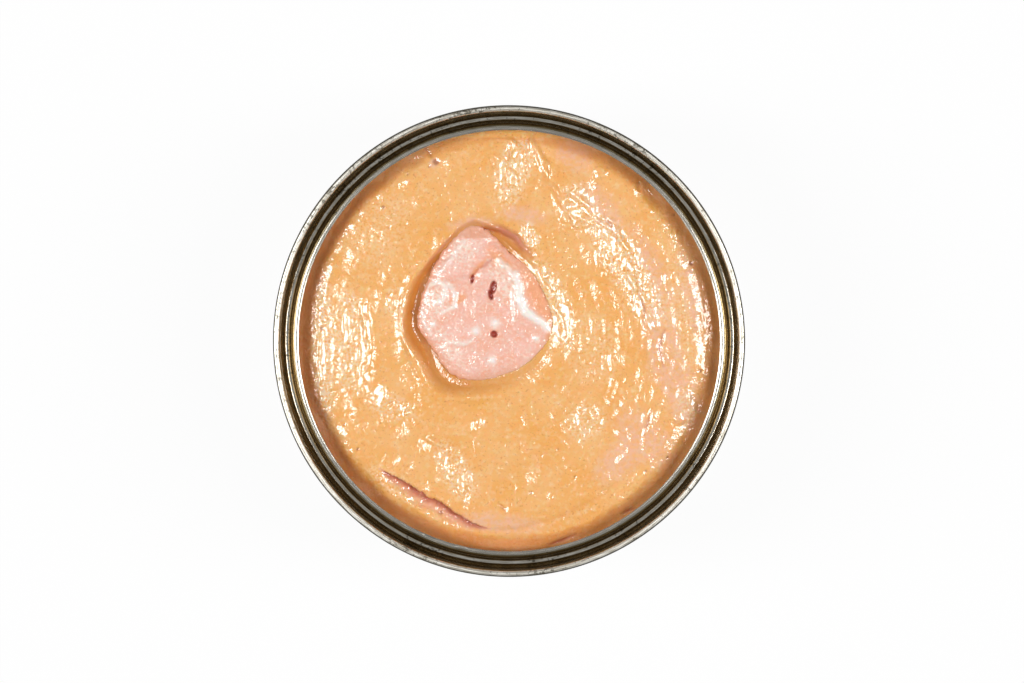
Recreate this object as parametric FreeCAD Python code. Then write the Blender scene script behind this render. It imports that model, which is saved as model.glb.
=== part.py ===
import FreeCAD, Part

import math
import os

# An opened pet food can, full of pate, with one lighter lump of meat standing in the middle.
# Four pieces: the drawn steel can, the ring that stays in its double seam once the ring-pull
# panel is torn out, the pate, and the lump.
#
# The frame has +Z up and its origin on the table, on the can's axis. +Y points the way the
# lump's narrow end does. Sizes are in millimetres and angles in degrees.

# ---- can: trade size 307 across the seam, 1.5 inches high -----------------------------------
SEAM_DIAMETER = 86.0      # over the double seam, the widest place
CAN_HEIGHT = 38.1         # table to the top of the seam
BODY_PLATE = 0.20         # tinplate of the drawn can
END_PLATE = 0.22          # tinplate of the ring-pull end

# ---- double seam: end, body hook, end hook, body wall and chuck wall, folded into each other --
SEAM_HEIGHT = 3.0
SEAM_GAP = 0.03           # lining compound between two plates
BODY_HOOK_GAP = 0.53      # tip of the body's hook above the end's fold that it hangs in
END_HOOK_GAP = 0.65       # tip of the end's hook below the body's fold that covers it

# ---- what stays of the end inside the seam --------------------------------------------------
CHUCK_LEAN = 0.70         # how far the chuck wall leans in, from the seam down to the groove
GROOVE_DROP = 1.80        # lowest place of the groove, below the bottom of the seam
GROOVE_WIDTH = 1.00       # between the middles of its two walls, at its floor
GROOVE_BEND = 0.45
GROOVE_LEAN = 0.60        # how far its inner wall leans in
PANEL_RISE = 2.10         # top of the panel's edge above the groove's lowest place
PANEL_BEND = 0.40
STUB_WIDTH = 1.10         # flat edge of the panel that is left outside the torn score line

# ---- base of the can: stands on a flat ring that fits inside another can's seam ---------------
STACK_CLEARANCE = 0.60    # base step inside the seam of the can below
STACK_STEP = 3.2          # height of that step
FOOT_BEND = 1.6           # outer corner of the foot
FOOT_WIDTH = 4.3          # outer corner of the foot to its inner corner
FOOT_LEAN = 0.7
PANEL_HEIGHT = 2.0        # the base panel above the table, beside the foot
BEAD_RISE = 0.7           # the middle of the base stands higher still
BEAD_INSET = 6.0          # foot to the step up to that middle
BASE_BEND = 0.8

# ---- pate ------------------------------------------------------------------------------------
FOOD_CLEARANCE = 0.05     # between food and steel
FILL_GAP = 0.35           # mean level of the pate below the groove
SWIRL_HEIGHT = 0.10       # ridges that the filling nozzle left, in rings about the axis
SWIRL_PITCH = 5.4
TILT_RISE = 0.25          # the right side of the filling stands this much higher than the left
EDGE_DROP = 0.35          # the surface rounds down to the wall
EDGE_WIDTH = 2.2
GRID_STEP = 0.75          # spacing of the points that each food surface passes through

# ---- lump of lighter meat ---------------------------------------------------------------------
LUMP_CENTRE = (-4.4, 6.6)
LUMP_RISE = 0.55          # its top above the pate's mean level
LUMP_OUTLINE = (          # (direction, distance from the centre), round the top
    (0, 11.9), (18, 11.1), (32, 10.7), (49, 10.1), (68, 10.5), (79, 11.7), (89, 13.5), (97, 14.5), (105, 14.2),
    (119, 12.8), (142, 11.6), (156, 11.1), (178, 11.7), (197, 12.7), (221, 12.4), (245, 14.1), (266, 13.7),
    (290, 13.4), (312, 13.5), (343, 13.2))
LUMP_SIDES = (            # (depth below the top, how far the outline has grown there)
    (7.0, -1.5), (1.9, 0.6), (0.7, 0.2), (-0.7, -0.7))
LUMP_SWELLINGS = (        # (across, up, height, reach) of the low rises of its top, from its centre
    (-4, 9, 0.22, 4.5), (5, -3, 0.18, 5.5), (-6, -2, 0.15, 4.0), (-1, -8, 0.10, 4.0))
LUMP_CREASE = ((-10.6, 4.3), (-6.2, 3.6), (-2.6, 4.9), (-1.4, 6.4), (1.3, 8.3))
CREASE_DEPTH = 0.35
CREASE_WIDTH = 0.8
LUMP_PITS = (             # (across, up, width, length, turn, depth) of the two deep holes in its top
    (1.6, -5.4, 1.3, 1.3, 0, 1.6),
    (1.2, 2.9, 1.1, 2.9, -8, 1.8))

# ---- hollow that the lump has drawn away from, deepest on its left -----------------------------
MOAT = (                  # (direction, width, depth), from the lump's centre
    (20, 1.4, 0.0), (46, 1.5, 0.2), (60, 1.9, 1.1), (76, 2.1, 1.3), (91, 1.4, 0.7), (110, 1.3, 0.7),
    (128, 1.3, 1.0), (142, 1.7, 1.6), (157, 2.9, 2.0), (185, 3.2, 2.1), (216, 3.8, 2.0), (238, 4.6, 1.5),
    (262, 3.6, 0.8), (300, 2.6, 0.4), (330, 1.4, 0.1), (350, 1.4, 0.0))
MOAT_FLOOR = 0.35         # share of the width that is floor; the rest rises to the rim
MOAT_RIM = 0.12           # the rim stands above the pate by this share of the depth
MOAT_RIM_WIDTH = 1.0

# ---- tear: a flap of the surface has lifted along a chord, low on the left --------------------
TEAR_DIRECTION = -117.0   # from the can's axis to the middle of the tear
TEAR_FROM_WALL = 10.3     # the flap's edge to the can's wall, before it wanders
TEAR_SLOPE = 1.7          # the far side of the gap runs out this much for each millimetre that it rises
TEAR_UNDERCUT = 0.35      # the flap hangs over the gap by this much
TEAR_EDGE = (             # (along, outwards, depth) of the flap's edge
    (-12.0, 0.1, 0.15), (-8.6, 0.0, 0.8), (-4.4, 0.0, 1.2), (-2.4, 0.35, 1.5), (1.8, 0.1, 1.6),
    (6.2, 0.9, 1.3), (9.4, 1.2, 0.7), (12.2, 0.9, 0.15))

# ---- places that follow from the sizes --------------------------------------------------------
LAYER = (END_PLATE + BODY_PLATE) / 2 + SEAM_GAP          # one plate of the seam to the next
OUTER_R = SEAM_DIAMETER / 2 - END_PLATE / 2              # mid-lines of the seam's five plates
BODY_HOOK_R = OUTER_R - LAYER
END_HOOK_R = OUTER_R - 2 * LAYER
WALL_R = OUTER_R - 3 * LAYER
CHUCK_R = OUTER_R - 4 * LAYER
END_FOLD_TOP = CAN_HEIGHT - END_PLATE / 2                # mid-lines of the folds over the seam
BODY_FOLD_TOP = END_FOLD_TOP - LAYER
SEAM_BOTTOM = CAN_HEIGHT - SEAM_HEIGHT
GROOVE_BOTTOM = SEAM_BOTTOM - GROOVE_DROP
WALL_INSIDE_R = WALL_R - BODY_PLATE / 2
FOOD_LEVEL = GROOVE_BOTTOM - FILL_GAP
OPENING_R = CHUCK_R - CHUCK_LEAN - GROOVE_WIDTH - GROOVE_LEAN - STUB_WIDTH
LUMP_TOP = FOOD_LEVEL + LUMP_RISE


# ---- plate sections ----------------------------------------------------------------------------
def point(r, z):
    return FreeCAD.Vector(r, 0, z)


def left_of(direction):
    return FreeCAD.Vector(-direction.z, 0, direction.x)


def bend_points(corner, behind, ahead, bend, offset):
    """Start, middle and end of a rounded corner, seen at an offset to the left of the line."""
    turn = math.atan2(left_of(behind).dot(ahead), behind.dot(ahead))
    side = math.copysign(1, turn)
    start = corner - behind * bend * math.tan(abs(turn) / 2)
    centre = start + left_of(behind) * side * bend
    spokes = [left_of(behind), left_of(behind) + left_of(ahead), left_of(ahead)]
    return [centre - spoke.normalize() * side * (bend - side * offset) for spoke in spokes]


def plate_side(line, offset):
    """Edges beside a plate's mid-line, offset to its left. The line is a list of (r, z, bend radius)."""
    corners = [point(r, z) for r, z, _ in line]
    ways = [(end - start).normalize() for start, end in zip(corners, corners[1:])]
    edges = []
    last = corners[0] + left_of(ways[0]) * offset
    for i, way in enumerate(ways[1:]):
        bend = line[i + 1][2]
        arc = bend_points(corners[i + 1], ways[i], way, bend, offset)
        if (arc[0] - last).Length > 1e-6:
            edges.append(Part.makeLine(last, arc[0]))
        edges.append(Part.Arc(*arc).toShape())
        last = arc[-1]
    edges.append(Part.makeLine(last, corners[-1] + left_of(ways[-1]) * offset))
    return edges


def ends_of(edges):
    return edges[0].Vertexes[0].Point, edges[-1].Vertexes[-1].Point


def turned(edges):
    """The solid that a closed section in the XZ plane sweeps in a full turn about Z."""
    section = Part.Wire(Part.sortEdges(edges)[0])
    return Part.Face(section).revolve(FreeCAD.Vector(0, 0, 0), FreeCAD.Vector(0, 0, 1), 360)


def bent_plate(line, thickness):
    """A plate that follows a mid-line with rounded bends, turned about the can's axis."""
    left = plate_side(line, thickness / 2)
    right = plate_side(line, -thickness / 2)
    caps = [Part.makeLine(a, b) for a, b in zip(ends_of(left), ends_of(right))]
    return turned(left + right + caps)


# ---- steel -------------------------------------------------------------------------------------
def can_line():
    """Mid-line of the base and wall, from the axis out to where the seam begins."""
    foot_r = CHUCK_R - END_PLATE / 2 - STACK_CLEARANCE - BODY_PLATE / 2
    foot_inner_r = foot_r - FOOT_WIDTH
    low = BODY_PLATE / 2
    panel = PANEL_HEIGHT + low
    middle = panel + BEAD_RISE
    bead_r = foot_inner_r - FOOT_LEAN - BEAD_INSET
    shoulder = WALL_R - foot_r
    return [(0, middle, 0),
            (bead_r - BEAD_RISE, middle, BASE_BEND),
            (bead_r, panel, BASE_BEND),
            (foot_inner_r - FOOT_LEAN, panel, BASE_BEND),
            (foot_inner_r, low, BASE_BEND),
            (foot_r, low, FOOT_BEND),
            (foot_r, STACK_STEP, BASE_BEND),
            (WALL_R, STACK_STEP + shoulder, BASE_BEND)]


def can_body():
    """The drawn can: base, wall, and the hook that its flange became in the seam."""
    hook_tip = SEAM_BOTTOM + END_PLATE + BODY_HOOK_GAP
    fold = [(WALL_R, BODY_FOLD_TOP, LAYER),
            (BODY_HOOK_R, BODY_FOLD_TOP, LAYER),
            (BODY_HOOK_R, hook_tip, 0)]
    return bent_plate(can_line() + fold, BODY_PLATE)


def end_ring():
    """What stays of the ring-pull end: its hook, the seam's cover, the groove and the panel's torn edge."""
    fold_bottom = SEAM_BOTTOM + END_PLATE / 2
    hook_tip = BODY_FOLD_TOP - BODY_PLATE / 2 - END_HOOK_GAP
    groove_r = CHUCK_R - CHUCK_LEAN
    groove_z = GROOVE_BOTTOM + END_PLATE / 2
    panel_z = GROOVE_BOTTOM + PANEL_RISE - END_PLATE / 2
    panel_r = groove_r - GROOVE_WIDTH - GROOVE_LEAN
    line = [(END_HOOK_R, hook_tip, 0),
            (END_HOOK_R, fold_bottom, LAYER),
            (OUTER_R, fold_bottom, LAYER),
            (OUTER_R, END_FOLD_TOP, 2 * LAYER),
            (CHUCK_R, END_FOLD_TOP, 2 * LAYER),
            (CHUCK_R, SEAM_BOTTOM, GROOVE_BEND),
            (groove_r, groove_z, GROOVE_BEND),
            (groove_r - GROOVE_WIDTH, groove_z, GROOVE_BEND),
            (panel_r, panel_z, PANEL_BEND),
            (panel_r - STUB_WIDTH, panel_z, 0)]
    return bent_plate(line, END_PLATE)


# ---- food ----------------------------------------------------------------------------------------
def smooth(t):
    """0 below t = 0, 1 above t = 1, with an even rise between."""
    t = min(1.0, max(0.0, t))
    return t * t * (3 - 2 * t)


def bump(distance, reach):
    """1 at no distance, falling smoothly to nothing at about twice the reach."""
    return math.exp(-(distance / reach) ** 2)


def around(table, direction, column=1):
    """What a table of (direction, values) gives in any direction, on a smooth closed curve."""
    knots = [(row[0] + turn, row[column]) for turn in (-360, 0, 360) for row in table]
    i = next(i for i, (a, _) in enumerate(knots) if a > direction % 360)
    (a0, v0), (a1, v1), (a2, v2), (a3, v3) = knots[i - 2:i + 2]
    gap = a2 - a1
    t = (direction % 360 - a1) / gap
    leave = (v2 - v0) / (a2 - a0) * gap
    arrive = (v3 - v1) / (a3 - a1) * gap
    rise = v2 - v1
    return v1 + t * leave + t * t * (3 * rise - 2 * leave - arrive) + t ** 3 * (leave + arrive - 2 * rise)


def from_lump(x, y):
    """Offsets across and up from the lump's centre, with the direction and distance."""
    across, up = x - LUMP_CENTRE[0], y - LUMP_CENTRE[1]
    return across, up, math.degrees(math.atan2(up, across)), math.hypot(across, up)


def moat_relief(x, y):
    """The hollow beside the lump: a level floor, then a slope up to a low rim."""
    _, _, direction, distance = from_lump(x, y)
    beyond = distance - around(LUMP_OUTLINE, direction)
    width = around(MOAT, direction, 1)
    depth = max(0.0, around(MOAT, direction, 2))
    rim = MOAT_RIM * bump(beyond - width - MOAT_RIM_WIDTH / 2, MOAT_RIM_WIDTH)
    return depth * (rim - smooth((1 - beyond / width) / (1 - MOAT_FLOOR)))


def pate_height(x, y):
    """The pate's surface: a slight tilt, nozzle swirls, the moat, and a rounded edge at the wall."""
    r = math.hypot(x, y)
    relief = TILT_RISE * x / (2 * WALL_INSIDE_R)
    relief += SWIRL_HEIGHT * math.cos(2 * math.pi * (r + x / 8) / SWIRL_PITCH)
    relief += moat_relief(x, y)
    edge = smooth(1 - (WALL_INSIDE_R - r) / EDGE_WIDTH)
    return FOOD_LEVEL + relief * smooth((OPENING_R - r) / EDGE_WIDTH) - EDGE_DROP * edge


def to_crease(across, up):
    """Distance to the crease that parts the lump's narrow end from the rest."""
    nearest = math.inf
    for (ax, ay), (bx, by) in zip(LUMP_CREASE, LUMP_CREASE[1:]):
        dx, dy = bx - ax, by - ay
        t = ((across - ax) * dx + (up - ay) * dy) / (dx * dx + dy * dy)
        t = min(1.0, max(0.0, t))
        nearest = min(nearest, math.hypot(across - ax - t * dx, up - ay - t * dy))
    return nearest


def lump_height(x, y):
    """The lump's top: low swellings, and the crease."""
    across, up, _, _ = from_lump(x, y)
    rise = sum(height * (bump(math.hypot(across - cx, up - cy), reach) - 1)
               for cx, cy, height, reach in LUMP_SWELLINGS)
    return LUMP_TOP + rise - CREASE_DEPTH * bump(to_crease(across, up), CREASE_WIDTH)


def block_below(height, half_width, centre, depth):
    """Everything under a height field, down by a depth, as a solid with one smooth top face."""
    count = math.ceil(half_width / GRID_STEP)
    steps = [i * GRID_STEP for i in range(-count, count + 1)]
    rows = [[(centre[0] + i, centre[1] + j) for j in steps] for i in steps]
    surface = Part.BSplineSurface()
    surface.interpolate([[FreeCAD.Vector(x, y, height(x, y)) for x, y in row] for row in rows])
    return surface.toShape().extrude(FreeCAD.Vector(0, 0, -depth))


def cavity():
    """The space inside the can up to its seam, less the clearance that the food keeps from steel."""
    line = can_line() + [(WALL_R, SEAM_BOTTOM, 0)]
    sides = plate_side(line, BODY_PLATE / 2 + FOOD_CLEARANCE)
    low, high = ends_of(sides)
    top = point(0, high.z)
    return turned(sides + [Part.makeLine(high, top), Part.makeLine(top, low)])


def lump_wire(depth, growth):
    """The lump's outline at a depth below its top, moved outwards by its growth there."""
    points = []
    for direction, distance in LUMP_OUTLINE:
        a = math.radians(direction)
        reach = FreeCAD.Vector(math.cos(a), math.sin(a), 0) * (distance + growth)
        points.append(FreeCAD.Vector(*LUMP_CENTRE, LUMP_TOP - depth) + reach)
    curve = Part.BSplineCurve()
    curve.interpolate(points, PeriodicFlag=True)
    return Part.Wire(curve.toShape())


def lump_column():
    """The lump's sides, from its root up past its top: widest at the moat, drawn in at the top."""
    return Part.makeLoft([lump_wire(depth, growth) for depth, growth in LUMP_SIDES], True)


def pit(across, up, width, length, turn, depth):
    """A tapered hole from above the lump's top down into it, round or drawn out along one direction."""
    above = -LUMP_SIDES[-1][0]
    cone = Part.makeCone(width / 6, width / 2 * (1 + above / depth), depth + above)
    stretch = FreeCAD.Matrix()
    stretch.scale(1, length / width, 1)
    cone = cone.transformGeometry(stretch)
    cone.rotate(FreeCAD.Vector(0, 0, 0), FreeCAD.Vector(0, 0, 1), turn)
    cone.translate(FreeCAD.Vector(LUMP_CENTRE[0] + across, LUMP_CENTRE[1] + up, LUMP_TOP - depth))
    return cone


def meat_lump():
    reach = max(distance for _, distance in LUMP_OUTLINE) + 2 * GRID_STEP
    solid = lump_column().common(block_below(lump_height, reach, LUMP_CENTRE, 2 * LUMP_SIDES[0][0]))
    for hole in LUMP_PITS:
        solid = solid.cut(pit(*hole))
    return solid


def tear():
    """The gap under the lifted flap: undercut on the inner side, a long slope on the outer one."""
    edge_r = WALL_INSIDE_R - TEAR_FROM_WALL
    above = EDGE_DROP + SWIRL_HEIGHT + TILT_RISE
    sections = []
    for along, outwards, depth in TEAR_EDGE:
        lip_r = edge_r + outwards
        low_r = lip_r - TEAR_UNDERCUT * depth
        corners = [(lip_r, above), (lip_r, 0), (low_r, -depth), (low_r + TEAR_SLOPE * (depth + above), above)]
        ring = [FreeCAD.Vector(r, along, FOOD_LEVEL + z) for r, z in corners]
        sections.append(Part.makePolygon(ring + ring[:1]))
    solid = Part.makeLoft(sections, True)
    solid.rotate(FreeCAD.Vector(0, 0, 0), FreeCAD.Vector(0, 0, 1), TEAR_DIRECTION)
    return solid


def pate():
    """The filling: the can's inside up to the food's surface, round the lump, less the tear."""
    reach = WALL_INSIDE_R + 2 * GRID_STEP
    filling = cavity().common(block_below(pate_height, reach, (0, 0), 2 * CAN_HEIGHT))
    return filling.cut(tear()).cut(lump_column())


def build():
    os.makedirs("parts", exist_ok=True)
    pieces = {"can_body": can_body(), "end_ring": end_ring(), "pate": pate(), "meat_lump": meat_lump()}
    for name, shape in pieces.items():
        solids = shape.Solids
        print(name, len(solids), "solid", "valid" if shape.isValid() else "INVALID", round(shape.Volume), "mm3")
        solids[0].exportStep("parts/" + name + ".step")


build()
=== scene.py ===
# %% [markdown]
# # An opened can of cat food
# The can is a low round tin whose lid was pulled off. Its rim is still folded round the
# lid's outer ring, and it is full of a moist pate with one lump of lighter meat in it.
# Everything is in metres and stands where the imported model says, so this cell loads that
# model first and keeps its box.

# %% Load the imported can
from math import atan2, cos, degrees, hypot, pi, radians, sin, tan

import bmesh
import bpy
import numpy as np
from mathutils import Matrix, Vector, noise


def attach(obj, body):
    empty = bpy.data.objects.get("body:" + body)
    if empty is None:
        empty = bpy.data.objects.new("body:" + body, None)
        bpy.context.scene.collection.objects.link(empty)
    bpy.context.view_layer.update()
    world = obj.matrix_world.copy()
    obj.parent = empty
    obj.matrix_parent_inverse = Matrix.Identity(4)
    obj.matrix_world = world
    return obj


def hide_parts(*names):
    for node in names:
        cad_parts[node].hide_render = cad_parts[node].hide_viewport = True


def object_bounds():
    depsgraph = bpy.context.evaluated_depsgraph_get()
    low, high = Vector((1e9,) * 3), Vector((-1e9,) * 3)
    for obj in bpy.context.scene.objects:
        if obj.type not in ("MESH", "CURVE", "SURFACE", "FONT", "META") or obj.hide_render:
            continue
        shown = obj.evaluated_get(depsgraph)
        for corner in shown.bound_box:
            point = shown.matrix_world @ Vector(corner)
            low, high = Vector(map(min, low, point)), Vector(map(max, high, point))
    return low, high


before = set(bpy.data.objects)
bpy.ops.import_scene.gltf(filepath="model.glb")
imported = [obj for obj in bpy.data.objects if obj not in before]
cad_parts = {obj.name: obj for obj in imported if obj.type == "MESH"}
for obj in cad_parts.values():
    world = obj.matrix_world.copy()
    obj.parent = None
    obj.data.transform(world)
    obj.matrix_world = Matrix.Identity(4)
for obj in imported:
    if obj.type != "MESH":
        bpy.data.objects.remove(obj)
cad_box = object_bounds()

MM = 0.001
scene = bpy.context.scene
scene.view_settings.view_transform = "Standard"
print("nodes:", sorted(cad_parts))
print("box in mm:", [[round(c / MM, 2) for c in corner] for corner in cad_box])

# %% [markdown]
# ## Tools for the whole scene
# Colours are written as the hex codes that paint charts use. Blender's shaders work in
# linear light, so one function turns a code into that. A second one adds a shader node,
# sets it and wires it, which keeps every material readable as a list of nodes. A third
# starts a material, and a fourth makes a finished mesh into a piece of the can.


# %% Colour, node and piece helpers
def paint(code, alpha=1.0):
    """A hex code such as "f3b878" as the linear colour that a shader takes."""
    channels = [int(code[i : i + 2], 16) / 255 for i in (0, 2, 4)]
    return [c / 12.92 if c <= 0.04045 else ((c + 0.055) / 1.055) ** 2.4 for c in channels] + [alpha]


def add(tree, kind, feeds=None, **settings):
    """One node: its settings, then its inputs, each a plain value or another node's output."""
    node = tree.nodes.new("ShaderNode" + kind)
    for name, value in settings.items():
        setattr(node, name, value)
    for name, value in (feeds or {}).items():
        if isinstance(value, bpy.types.NodeSocket):
            tree.links.new(value, node.inputs[name])
        else:
            node.inputs[name].default_value = value
    return node


def new_material(name):
    """An empty node material and its tree, ready for nodes."""
    material = bpy.data.materials.new(name)
    material.use_nodes = True
    material.node_tree.nodes.clear()
    return material, material.node_tree


def piece(name, bm, material, slot=None, stands_for=(), smooth=True):
    """The bmesh as an object of that name and material. With a slot, it rides on the can."""
    mesh = bpy.data.meshes.new(name)
    bm.to_mesh(mesh)
    bm.free()
    mesh.shade_smooth() if smooth else mesh.shade_flat()
    made = bpy.data.objects.new(name, mesh)
    scene.collection.objects.link(made)
    made.data.materials.append(material)
    if slot:
        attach(made, "root")
    if stands_for:
        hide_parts(*stands_for)
    print(f"{name}: {len(mesh.vertices)} points, {len(mesh.polygons)} faces")
    return made


# %% [markdown]
# ## Camera
# The can is seen from almost straight above, from about 60 cm away with a long lens, so
# the rim hardly narrows towards its foot. The camera leans a few degrees off the can's
# axis, which shows a little more of the wall on one side than on the other.

# %% Camera over the can
LENS, DISTANCE = 116.0, 0.6  # mm, and metres from the aim
aim = Vector((0.00065, 0.0001, cad_box[1].z))  # just beside the axis, level with the rim
back = Vector((0.0314, 0.0503, 0.9982)).normalized()  # from the can towards the camera
right = Vector((1, 0, 0)) - back * back.x
right.normalize()
turn = Matrix((right, back.cross(right), back)).transposed()
camera = bpy.data.objects.new("camera", bpy.data.cameras.new("camera"))
camera.data.lens = LENS
camera.matrix_world = Matrix.Translation(aim + back * DISTANCE) @ turn.to_4x4()
scene.collection.objects.link(camera)
scene.camera = camera
print("camera at", [round(c, 3) for c in camera.location])

# %% [markdown]
# ## Floor, backdrop and light
# A white table and a low white wall round it give the plain background, and the bright
# metal shows them as well. Two softboxes, left and right at about 50 degrees, are the
# light, and a dim sky fills the shadows. Because the sky is dim, the metal's steep walls
# turn dark between bright lines, as they do in a studio, and painted shade darkens them more.

# %% White table paint
WHITE_SHARE = 0.93  # of pure white, for the camera and for what the metal mirrors
table_paint, tree = new_material("white_table_paint")
path = add(tree, "LightPath").outputs
seen = path["Is Camera Ray"]
for ray in ("Is Glossy Ray", "Is Transmission Ray"):
    seen = add(tree, "Math", {0: seen, 1: path[ray]}, operation="MAXIMUM").outputs[0]
share = add(tree, "Math", {0: seen, 1: WHITE_SHARE}, operation="MULTIPLY").outputs[0]
matt = add(tree, "BsdfDiffuse", {"Color": paint("f4f4f4")}).outputs[0]
glow = add(tree, "Emission", {"Color": paint("ffffff"), "Strength": 1.0}).outputs[0]
front = add(tree, "MixShader", {0: share, 1: matt, 2: glow}).outputs[0]
# clear from below, so that the table doesn't hide the can's base
behind = add(tree, "NewGeometry").outputs["Backfacing"]
clear = add(tree, "BsdfTransparent").outputs[0]
both = add(tree, "MixShader", {0: behind, 1: front, 2: clear}).outputs[0]
add(tree, "OutputMaterial", {"Surface": both})
print("white table paint:", len(tree.nodes), "nodes")

# %% White table
TABLE_RADIUS, TABLE_WALL, BELOW_CAN = 4.0, 0.9, 0.00002  # metres
bm = bmesh.new()
bmesh.ops.create_circle(bm, cap_ends=True, segments=96, radius=TABLE_RADIUS,
                        matrix=Matrix.Translation((0, 0, -BELOW_CAN)))
rim = [e for e in bm.edges if e.is_boundary]
wall = bmesh.ops.extrude_edge_only(bm, edges=rim)["geom"]
bmesh.ops.translate(bm, vec=(0, 0, TABLE_WALL), verts=[v for v in wall if isinstance(v, bmesh.types.BMVert)])
bmesh.ops.recalc_face_normals(bm, faces=bm.faces)
bm.normal_update()
if max(bm.faces, key=lambda f: f.calc_area()).normal.z < 0:
    bmesh.ops.reverse_faces(bm, faces=bm.faces)
table = piece("white_table", bm, table_paint, smooth=False)

# %% Two softboxes
SOFTBOX_POWER, SOFTBOX_SIZE = 6.3, (0.27, 0.70)  # watts, and metres
SOFTBOX_AT = (0.64, 0.73)  # metres out to the side, and up
for side in (-1, 1):
    lamp = bpy.data.lights.new("softbox", "AREA")
    lamp.shape, lamp.energy = "RECTANGLE", SOFTBOX_POWER
    lamp.size, lamp.size_y = SOFTBOX_SIZE
    softbox = bpy.data.objects.new("softbox", lamp)
    place = Vector((side * SOFTBOX_AT[0], 0.0, SOFTBOX_AT[1]))
    softbox.matrix_world = Matrix.Translation(place) @ place.to_track_quat("Z", "Y").to_matrix().to_4x4()
    softbox.visible_camera = False
    scene.collection.objects.link(softbox)
    print("softbox at", [round(c, 2) for c in place])

# %% Dim sky
SKY_ON_MATT, SKY_IN_GLOSS = 0.08, 0.28  # strengths; the camera itself sees 1, which is white
scene.world = bpy.data.worlds.new("dim_sky")
scene.world.use_nodes = True
tree = scene.world.node_tree
path = add(tree, "LightPath").outputs
mirrored = add(tree, "Math", {0: path["Is Glossy Ray"], 1: path["Is Transmission Ray"]}, operation="MAXIMUM")
strength = add(tree, "MapRange", {"Value": mirrored.outputs[0], "To Min": SKY_ON_MATT, "To Max": SKY_IN_GLOSS})
strength = add(tree, "Math", {0: strength.outputs[0], 1: path["Is Camera Ray"]}, operation="MAXIMUM")
sky = tree.nodes["Background"]
sky.inputs["Color"].default_value = paint("ffffff")
tree.links.new(strength.outputs[0], sky.inputs["Strength"])
print("dim sky:", len(tree.nodes), "nodes")
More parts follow.
